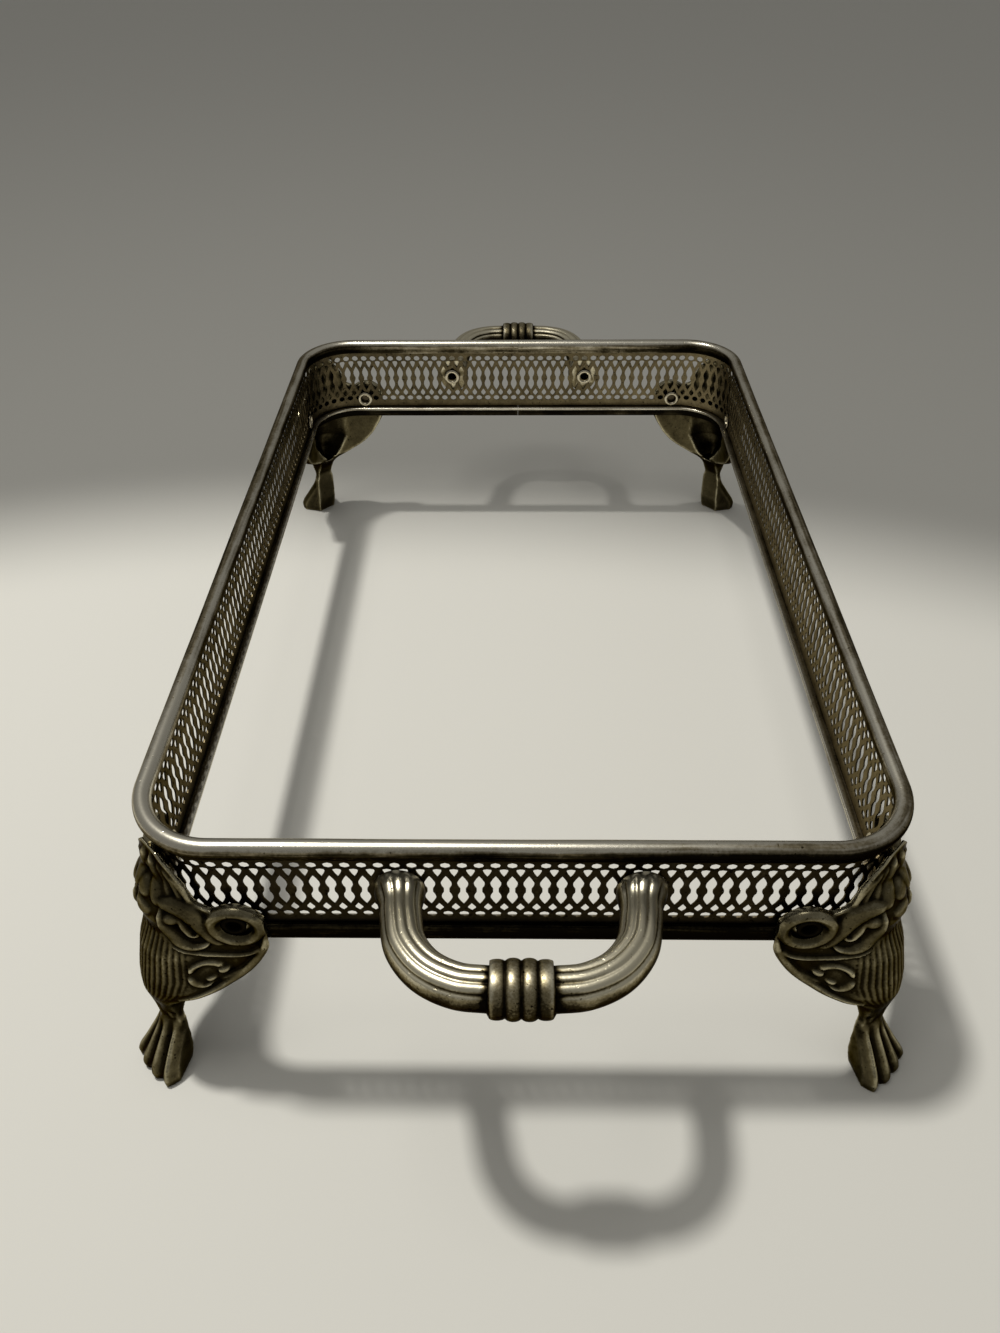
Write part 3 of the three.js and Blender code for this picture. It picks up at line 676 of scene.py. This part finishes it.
def makeRivets(name, inFoot, tree):
    # a foot's rivet is turned from a line that begins and ends by the axis, a handle's from a closed ring
    radius, along = rivetSection(inFoot).T[:, :, None]
    angles = fullTurn(rivet["sides"])
    grid = np.stack([radius * np.cos(angles), radius * np.sin(angles), along + 0 * angles], -1)
    shape = makeObject(name + "_shape", *skin(grid + [0, 0, tableLevel], joined=not inFoot))
    makeOutward(shape)
    spots = [s for s in rivetSpots() if s[3] == inFoot]
    piece = makeObject(name, [s[1] for s in spots], [])
    storeValues(piece, "outwards", [s[2] for s in spots])
    runNodes(piece, tree, {"Rivet": shape, "Finish": rivetTube})
    bpy.data.objects.remove(shape)
    finishPiece(piece, [rivetTube, rivetEyeShade], [s[0] for s in spots], 50, passes=6, scale=0.3)
    middles = np.array([face.center for face in piece.data.polygons]) / mm
    # what lies out in a foot's eye is painted black, as the shade there
    inEyeShade = inFoot & (offsetFromFrame(middles) > rivet["eyeShadeFrom"])
    piece.data.polygons.foreach_set("material_index", inEyeShade.astype(np.int32))


rivetTree = rivetNodes()
makeRivets("foot_rivets", True, rivetTree)
makeRivets("handle_rivets", False, rivetTree)
print("rivets made")


# handles

handle = {
    "reach": 36.8, "rootHeight": -17.5, "gripHeight": -10.8, "radius": 5.95,
    "path": [[35, 0.8], [34, 7], [33, 15], [30.8, 24], [25, 31.6], [16.8, 35.8], [8.4, 36.8]],  # across, outwards
    "sides": 120, "legSteps": 110,
    "reedsAt": [57, 90, 123], "reedRise": 0.22, "reedHalf": 15, "reedsFrom": 0.03, "reedsOver": 0.05,
    "groovesAt": [40, 73.5, 106.5, 140], "grooveDepth": 0.5, "grooveHalf": 5.5, "grooveRound": 0.7,
    "grooveBead": (0.55, 0.45),  # the bead in a double groove: its height and width as shares of the groove's
    "flare": [0.25, 0.5], "flareShare": 0.2, "leanShare": 0.16,
    "knuckleHalf": 8.4, "rings": [7.6, 7.9, 7.9, 7.6], "valley": 6.9, "ringSteps": 14,
    "socket": 3.4, "socketDepth": 4.5,
    # painted light and shade by facing, and painted highlight on the legs with painted shade on the knuckle, by how far
    # across
    "rubbed": [(-1, -0.8), (-0.1, -0.7), (0.3, -0.46), (0.65, -0.05), (1, 0.2)],
    "paintedHighlightAcross": [(8, -0.36), (10.5, 0.1), (20, 0.36), (30, 0.7), (36, 0.4)],
}


def handlePoints(across, out):
    rise = handle["gripHeight"] - handle["rootHeight"]
    return np.stack([across, out, handle["rootHeight"] + rise * np.sin(np.pi / 2 * out / handle["reach"])], -1)


def reedRadius(angles):
    # three broad reeds on the top with a double groove at each side of them
    radius = np.full_like(angles, handle["radius"])
    degrees = np.degrees(angles)
    beadHeight, beadWidth = handle["grooveBead"]
    for at in handle["groovesAt"]:
        away = np.abs(degrees - at)
        groove = np.maximum(1 - away / handle["grooveHalf"], 0) ** handle["grooveRound"]
        bead = beadHeight * np.maximum(1 - away / (beadWidth * handle["grooveHalf"]), 0)
        radius -= handle["grooveDepth"] * np.maximum(groove - bead, 0)
    for at in handle["reedsAt"]:
        radius += handle["reedRise"] * bell((degrees - at) / handle["reedHalf"])
    return radius


def handleRings(centres, alongs, radii, flare=(1, 1)):
    angles = fullTurn(handle["sides"])
    side = unit(np.cross(alongs, [0, 0, 1.0]))
    return ringsRound(centres, side, np.cross(side, alongs), radii * np.cos(angles) * flare[0],
                      radii * np.sin(angles) * flare[1])


def handleLeg():
    line = smoothLine(handlePoints(*np.array(handle["path"]).T), handle["legSteps"])
    share = np.linspace(0, 1, len(line))[:, None]
    # the root stands square to the strip and leans into its path over the first part of the leg
    lean = np.clip(share / handle["leanShare"], 0, 1)
    alongs = unit((1 - lean) * [0, 1.0, 0] + lean * unit(np.gradient(line, axis=0)))
    reeds = reedRadius(fullTurn(handle["sides"])) - handle["radius"]
    radii = handle["radius"] + reeds * np.clip((share - handle["reedsFrom"]) / handle["reedsOver"], 0, 1)
    flare = [1 + most * bell(share / handle["flareShare"]) for most in handle["flare"]]
    return handleRings(line, alongs, radii, flare)


def handleKnuckle():
    # rounded rings side by side
    count, valley = len(handle["rings"]), handle["valley"]
    t = (np.arange(handle["ringSteps"]) + 0.5) / handle["ringSteps"]
    across = handle["knuckleHalf"] * (1 - 2 * (np.arange(count)[:, None] + t) / count).ravel()
    radii = valley + (np.array(handle["rings"])[:, None] - valley) * np.sqrt(1 - (2 * t - 1) ** 2)
    middle = handlePoints(across, np.full_like(across, handle["reach"]))
    return handleRings(middle, np.tile([-1.0, 0, 0], (len(across), 1)), radii.reshape(-1, 1))


def makeHandle(name, end):
    # the mirrored leg runs the same way round, so that the skin isn't twisted
    leg = handleLeg()
    grid = np.concatenate([leg, handleKnuckle(), leg[::-1] * [-1, 1, 1]]) + [0, holder["halfAlong"], 0]
    piece = makeObject(name, *skin(grid * [1, end, 1]))
    makeOutward(piece)
    roots = [np.array([x * rivet["handleAcross"], end * holder["halfAlong"], rivet["handleHeight"]]) for x in (-1, 1)]
    cutAway(piece, [drill(root, root + [0, end * handle["socketDepth"], 0], handle["socket"]) for root in roots])
    return piece


for handleName, end in (("handle_front", -1), ("handle_back", 1)):
    piece = makeHandle(handleName + "_reeded", end)
    paintLightByFacing(piece, handle)
    finishPiece(piece, [handleCasting], [handleName], 50, passes=14, scale=0.45)
print("handles made")


# feet

foot = {
    "levels": (-5, tableLevel), "rowStep": 0.5, "faceSteps": 170, "backSteps": 50,
    "knee": [[-5, 3], [-8, 3.8], [-12, 4.3], [-14.5, 4.1], [-17, 6.2], [-21, 8.6], [-26, 10.2], [-30, 10.9],
             [-33.5, 10.2], [-36, 9.9], [-39, 11.2], [-45, 14.3], [-56, 17.4], [-63, 18.6], [-67, 18], [-71, 17],
             [-77, 16.8], [-80, 17.4], [-84, 19.2], [-88, 21.6], [-93, 24.6], [-97, 26.9], [-100, 28], [-103, 27.6]],
    "half": [[-5, 3.5], [-9, 7], [-15, 10.5], [-22, 12.5], [-26, 21], [-29, 28], [-34, 31], [-40, 30.5], [-45, 28.6],
             [-52, 24.4], [-57, 19.8], [-60, 16], [-62, 12.6], [-63.5, 9.4], [-65, 6.4], [-67, 4.4], [-71, 3.4],
             [-77, 3], [-79, 3], [-80.5, 3.5], [-84, 3.6], [-88, 3.9], [-93, 4.4], [-97, 4.9], [-100, 5.2],
             [-103, 5.1]],
    "edge": [[-5, 3.7], [-22, 4.4], [-26, 4.5], [-64, 4.7], [-71, 11], [-77, 14], [-80, 14.6], [-84, 16.6], [-88, 19.4],
             [-93, 22.8], [-97, 25.7], [-100, 26.9], [-103, 26.7]],
    "back": [[-5, 2.5], [-64, 2.5], [-70, 8], [-77, 11.5], [-86, 12.3], [-95, 12.8], [-103, 14.5]],
    "spread": [[-5, 5], [-22, 13], [-35, 18], [-60, 20], [-68, 14], [-77, 3.6], [-86, 4], [-103, 6.5]],
    "heel": [[-84, 1], [-103, 0.6]],
    "hollow": [[-30, 0, 2.5], [-42, 10, 7], [-53, 10, 11], [-60, 6, 12], [-64.5, 2.5, 10]],  # height, half width, depth
    "hollowRange": (-67, -32), "hollowRound": 0.6,
    "ribTop": -35, "ribFoot": -68, "ribs": 14, "ribHalf": 8.9, "ribDepth": 1.2,
    "ribTopFall": 5.5, "ribFades": (2, 5),  # how much lower the outer ribs begin, and over what height ribs fade
    "ribClosing": [(-68, 0.4), (-61, 0.85), (-55, 1), (-35, 1)],  # the fan of ribs narrows towards the ankle
    "toesFrom": -80, "toesOver": 6, "toeDepth": 1.35, "toeGap": 0.54, "toeValley": 1.2,
    "toeRounding": 3, "toeRoundFrom": 0.78,
    "roundelSides": 64,
    # radius and offset of the roundel's section: a broad rounded ring round the eye
    "ring": [(0.01, 2.5), (8.5, 2.5), (8.9, 3.3), (8.8, 4.8), (8.1, 6), (6.9, 6.6), (5.8, 6.2), (5, 5.2),
             (4.6, 4.6), (0.01, 4.6)],
    "eyeAlong": 22.7, "eye": 4.7, "eyeSeat": 4, "shankHole": 3.35, "boreEnd": 14,
    "voxel": 0.37,
    # painted light and shade by facing; faces turned in towards the frame a little lighter
    "rubbed": [(-1, -0.5), (-0.1, -0.12), (0.5, 0.05), (1, 0.15)], "inwardFacingLighter": 0.22,
}

# raised strokes: points per millimetre, how they taper in and out as shares of their length, and depth of their root
stroke = {"density": 1.6, "fewest": 10, "taperIn": 0.12, "taperOut": 0.1, "root": 1.8, "sections": 14}

# relief of one wing: strokes as points (along, height), half widths spread evenly over them, and height of the ridge;
# knobs as a middle, half width, half height, and how proud
footStrokes = [
    ([(3.6, -20), (7, -21.6), (10.2, -24), (12.6, -27.8), (14.2, -32), (16.2, -36.5), (19, -39)],
     [2, 2.7, 2.9, 2.4, 2.3, 2, 1.2], 1.9),  # ribbon of the scroll
    ([(4.9, -24), (5.2, -28), (5.8, -32), (6.8, -35.4), (8.6, -38), (10.8, -39.4), (13, -39.2), (15, -37.6)],
     [0.6, 0.9, 1.3, 1.7, 1.7, 1.3, 0.7], 1.6),  # crescent of the comma
    ([(8.8, -25), (9.2, -29.5), (10, -33), (11, -34.9), (12.2, -34.6), (12.9, -32.6), (12.4, -30)],
     [0.5, 0.6, 0.7, 0.6], 1.1),  # drop of the comma
    ([(6.4, -40.3), (10.4, -41.6), (14, -43.4), (18, -44.6), (22.2, -44.4), (26, -43), (29, -40)],
     [0.5, 0.8, 0.8, 0.6], 1.2),  # thread under the scroll
    ([(9.4, -50.5), (10.6, -47.6), (12.6, -46.6), (14.6, -47.6), (16.2, -49.8)], [0.5, 1, 1.1, 0.6], 1.4),  # scroll
    ([(9.3, -52), (10.2, -54.8), (11.8, -56.8), (13.4, -56.2)], [0.5, 0.9, 0.6], 1.1),  # curl under it
    ([(25.8, -46.2), (21.8, -51), (18, -54.2), (15, -56.2)], [0.5, 0.6, 0.5], 0.9),  # thread in the panel
    ([(30.3, -35.5), (29.6, -40), (27.4, -44.6), (23.4, -50.6), (18.8, -55.6), (15.2, -58.6), (12, -60.7), (9, -62.2),
      (6.6, -63.2)], [1.2, 1.5, 1.6, 1.6, 1.4, 1], 1.6),  # lower border
]
footKnobs = [((7.2, -27.6), 2.2, 2.2, 1.4), ((16.2, -51.4), 1.5, 1.5, 1.5), ((13.2, -54.4), 1.1, 1.1, 1)]

leaf = {  # acanthus leaf on the corner: a stack of rounded lobes with long folds at both sides
    "lobes": [((0, -12.6), 2, 2.3, 0.6), ((0, -19.2), 2.6, 3.2, 0.9), ((0, -26), 2.8, 2.7, 1)],
    "folds": [([(1.4, -6.5), (2.4, -11), (3.4, -16), (4.2, -20), (4.9, -23.5)], [0.9, 1.5, 1.9, 2, 1.4], 1.2),
              ([(3.8, -8.5), (5, -12.5), (6, -16.5), (6.8, -20)], [0.5, 0.8, 0.7], 0.7),
              ([(5.4, -9.8), (7.1, -13.5), (8.5, -17), (9.5, -20.5)], [0.5, 0.8, 0.7], 0.6),
              ([(7, -12), (9.1, -15.2), (10.6, -18.4), (11.6, -21.5)], [0.5, 0.7, 0.6], 0.5)],
}

paw = {  # tendons of the ankle as rounded bars: along, offset, height and radius
    "tendons": [[(0, 17.6, -62, 0.8), (0, 17, -67, 1), (0, 16.4, -72, 1.1), (0, 16.2, -79, 1.1),
                 (0, 17, -83, 0.8)],
                [(2.3, 16, -63, 0.8), (1.9, 15.6, -67, 1), (1.7, 15.2, -73, 1.1), (1.9, 14.8, -80, 1)]],
    "sections": 16, "steps": 30, "blunt": 0.003,
}


def readLine(line, heights, steps=400, bend=13):
    # the settings' lines run downwards, with rounded instead of sharp bends
    levels, *columns = np.array(line, float)[::-1].T
    fine = np.linspace(levels[0], levels[-1], steps)
    kernel = np.hanning(bend) / np.hanning(bend).sum()
    out = []
    for column in columns:
        padded = np.pad(np.interp(fine, levels, column), bend // 2, mode="edge")
        out.append(np.interp(heights, fine, np.convolve(padded, kernel, "valid")))
    return out[0] if len(out) == 1 else out


def footSurface(along, height):
    # how far the plain outer face stands out from the frame's centre line
    edge, knee, spread = (readLine(foot[k], height) for k in ("edge", "knee", "spread"))
    return edge + (knee - edge) * bell(along / spread)


def ribCuts(along, heights):
    # ribs of the shell run down the knee and close up towards the ankle
    phase = along / (foot["ribHalf"] * tableValue(foot["ribClosing"], heights))
    tops = foot["ribTop"] - foot["ribTopFall"] * np.abs(phase)
    fadeTop, fadeFoot = foot["ribFades"]
    depth = np.clip((tops - heights) / fadeTop, 0, 1) * np.clip((heights - foot["ribFoot"]) / fadeFoot, 0, 1)
    place = np.mod((phase + 1) * foot["ribs"] / 2, 1) * 2 - 1
    return foot["ribDepth"] * depth * (1 - np.sqrt(np.maximum(1 - place ** 2, 0))) * (np.abs(phase) < 1)


def toeCuts(share, heights):
    # four toes fan out below the ankle, with shallow valleys between them and rounded outer sides
    fan = np.clip((foot["toesFrom"] - heights) / foot["toesOver"], 0, 1)
    valley = (1 - np.cos(2 * np.pi * (share / foot["toeGap"] - 0.5))) / 2
    side = np.clip((np.abs(share) - foot["toeRoundFrom"]) / (1 - foot["toeRoundFrom"]), 0, 1)
    return fan * (foot["toeDepth"] * valley ** foot["toeValley"] + foot["toeRounding"] * side ** 2)


def footBody():
    heights = np.arange(foot["levels"][0], foot["levels"][1] - 1e-6, -foot["rowStep"])
    heights = np.append(heights, foot["levels"][1])[:, None]
    half = readLine(foot["half"], heights)
    share = np.linspace(-1, 1, foot["faceSteps"])
    along = share * half
    face = footSurface(along, heights) - ribCuts(along, heights) - toeCuts(share, heights)
    backAlong = np.linspace(1, -1, foot["backSteps"]) * half * readLine(foot["heel"], heights)
    back = readLine(foot["back"], heights)
    # the knee is hollow behind
    halfWide, depth = readLine(foot["hollow"], heights)
    inside = bell(backAlong / np.maximum(halfWide, 0.1)) ** foot["hollowRound"]
    lowest, highest = foot["hollowRange"]
    there = (heights < highest) & (heights > lowest)
    back = np.where(there, back + np.maximum(depth - back, 0) * inside, back)
    return skin(np.concatenate([byTheCorner(along, face, heights), byTheCorner(backAlong, back, heights)], 1))


def reliefStroke(sign, points, halfWidths, height):
    # a raised rounded ridge that follows the outer face, tapered at both ends
    count = max(int(stroke["density"] * runAlong(points)[-1]), stroke["fewest"])
    line = smoothLine(points, count)
    ahead = np.gradient(line, axis=0)
    ahead /= np.linalg.norm(ahead, axis=1)[:, None] + 1e-9
    across = np.stack([-ahead[:, 1], ahead[:, 0]], 1)
    t = np.linspace(0, 1, count)
    taper = np.clip(np.minimum(t / stroke["taperIn"], (1 - t) / stroke["taperOut"]), 0.1, 1) ** 0.5
    reach = np.interp(t, np.linspace(0, 1, len(halfWidths)), halfWidths) * taper
    turn = fullTurn(stroke["sections"])
    wide = line[:, None] + reach[:, None, None] * np.cos(turn)[:, None] * across[:, None]
    lift = np.where(np.sin(turn) > 0, height, stroke["root"]) * np.sin(turn) * taper[:, None]
    base = footSurface(np.abs(wide[..., 0]), wide[..., 1])
    return skin(byTheCorner(sign * wide[..., 0], base + lift, wide[..., 1]))


def reliefKnob(sign, centre, halfAlong, halfHigh, height, rings=9, columns=20):
    angle = np.linspace(0, np.pi, rings + 2)[1:-1, None]
    turn = fullTurn(columns)
    along = centre[0] + halfAlong * np.sin(angle) * np.cos(turn)
    level = centre[1] + halfHigh * np.sin(angle) * np.sin(turn)
    lift = np.where(np.cos(angle) > 0, height, stroke["root"]) * np.cos(angle)
    return skin(byTheCorner(sign * along, footSurface(np.abs(along), level) + lift, level))


def roundelRing(sign):
    radius, out = np.array(foot["ring"]).T[:, :, None]
    turn = fullTurn(foot["roundelSides"])
    along = foot["eyeAlong"] + radius * np.cos(turn)
    return skin(byTheCorner(sign * along, out, rivet["footHeight"] + radius * np.sin(turn)))


def roundBar(sign, bar):
    # a bar with domed ends through points by the corner
    line = smoothLine(bar, paw["steps"])
    spots = byTheCorner(sign * line[:, 0], line[:, 1], line[:, 2])
    ahead = unit(np.gradient(spots, axis=0))
    run = runAlong(spots)
    fromEnd = np.minimum(run, run[-1] - run) / line[:, 3]
    radius = line[:, 3] * np.sqrt(np.maximum(1 - (1 - np.minimum(fromEnd, 1)) ** 2, paw["blunt"]))
    side = unit(np.cross(ahead, [-1.0, 1.0, 0.0]))
    turn = fullTurn(paw["sections"])
    reach, lift = radius[:, None] * np.cos(turn), radius[:, None] * np.sin(turn)
    return skin(ringsRound(spots, side, np.cross(ahead, side), reach, lift))


def makeFootShape():
    parts = [footBody()]
    for sign in (1, -1):
        parts.append(roundelRing(sign))
        parts += [reliefStroke(sign, *ridge) for ridge in footStrokes + leaf["folds"]]
        parts += [reliefKnob(sign, *knob) for knob in footKnobs]
        parts += [roundBar(sign, bar) for bar in paw["tendons"]]
    parts += [reliefKnob(1, *lobe) for lobe in leaf["lobes"]]
    points, faces = [], []
    for spots, partFaces in parts:
        faces += [[len(points) + i for i in face] for face in partFaces]
        points += list(spots)
    piece = makeObject("foot_shape", points, faces)
    # the parts melt into one casting
    remesh = piece.modifiers.new("cast in one", "REMESH")
    remesh.mode = "VOXEL"
    remesh.voxel_size = foot["voxel"] * mm
    calm = piece.modifiers.new("cast softness", "SMOOTH")
    calm.factor = 0.5
    calm.iterations = 2
    bakeModifiers(piece)
    cutters = []
    for sign, out in ((1, np.array([0, 1.0, 0])), (-1, np.array([1.0, 0, 0]))):
        for along, seat, radius in ((foot["eyeAlong"], foot["eyeSeat"], foot["eye"]),
                                    (rivet["footAlong"], 0, foot["shankHole"])):
            place = byTheCorner(sign * along, 0, rivet["footHeight"])
            cutters.append(drill(place + seat * out, place + foot["boreEnd"] * out, radius))
    cutAway(piece, cutters)
    return piece


footShape = makeFootShape()
for corner, x, y in corners:
    name = "foot_" + corner
    piece = placeObject(name + "_cast", footShape.data.copy())
    piece.data.transform(Matrix.Diagonal((x, y, 1, 1)))
    makeOutward(piece)
    # the casting stands on the table and stays within the solid's box
    spots = np.clip(readVectors(piece.data, "co"), *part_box(name))
    piece.data.vertices.foreach_set("co", spots.ravel())
    piece.data.update()
    paintLightByFacing(piece, foot)
    finishPiece(piece, [footCasting], [name], 70, passes=16, scale=0.55)
bpy.data.objects.remove(footShape)
print("feet made,", len(piece.data.polygons), "faces each")


# floor, light and camera

studio = {
    "floor": "#e3e1d8", "floorHalf": 4000, "world": "#f4f3f0", "worldStrength": 0.21, "lampColour": (1, 0.985, 0.95),
    # the key lamp hangs high at the left; its pool of light ends just behind the far feet
    "key": {"at": (-0.38, 0.09, 1.36), "aim": (-0.1, -0.64, 0), "energy": 45.2, "shadow_soft_size": 0.06,
            "spot_size": math.radians(63.5), "spot_blend": 0.10},
    # soft box overhead, seen in the bead as its bright band
    "soft": {"at": (-0.24, -0.1, 1.25), "aim": (-0.24, -0.1, 0), "energy": 2.3, "size": 0.54},
}


def addLamp(name, kind, settings):
    lamp = bpy.data.lights.new(name, kind)
    lamp.color = studio["lampColour"]
    for field, value in settings.items():
        if field not in ("at", "aim"):
            setattr(lamp, field, value)
    light = placeObject(name, lamp)
    light.location = settings["at"]
    light.rotation_euler = (light.location - Vector(settings["aim"])).to_track_quat("Z", "Y").to_euler()


def makeStudio():
    half = studio["floorHalf"]
    spots = [(x * half, y * half, tableLevel) for x, y in ((-1, -1), (1, -1), (1, 1), (-1, 1))]
    cloth = makeObject("floor_cloth", spots, [(0, 1, 2, 3)])
    material, tree = newMaterial("white cloth")
    shader = addNode(tree, "ShaderNodeBsdfPrincipled", {"Roughness": 0.95, "Base Color": linear(studio["floor"])})
    addNode(tree, "ShaderNodeOutputMaterial", {"Surface": shader})
    cloth.data.materials.append(material)
    addLamp("key_lamp", "SPOT", studio["key"])
    addLamp("soft_box", "AREA", studio["soft"])
    world = bpy.data.worlds.new("studio")
    world.use_nodes = True
    background = world.node_tree.nodes["Background"].inputs
    background["Color"].default_value = linear(studio["world"])
    background["Strength"].default_value = studio["worldStrength"]
    bpy.context.scene.world = world


# place in millimetres, turns in radians, focal length and height of the picture in its pixels
view = {"place": (-2.2, -348.02, 324.07), "yaw": 0.0177, "pitch": 0.7127, "roll": -0.0096, "focal": 1005,
        "pictureHeight": 1333, "sensor": 36}


def makeCamera():
    lens = bpy.data.cameras.new("photo_view")
    lens.sensor_width = view["sensor"]
    lens.lens = view["sensor"] * view["focal"] / view["pictureHeight"]
    lens.clip_start = 0.01
    camera = placeObject("photo_view", lens)
    turns = [Matrix.Rotation(angle, 4, axis) for angle, axis in
             ((view["yaw"], "Z"), (math.pi / 2 - view["pitch"], "X"), (view["roll"], "Z"))]
    camera.matrix_world = Matrix.Translation(Vector(view["place"]) * mm) @ turns[0] @ turns[1] @ turns[2]
    bpy.context.scene.camera = camera


makeStudio()
makeCamera()
bpy.context.scene.view_settings.view_transform = "Standard"
print("studio ready")
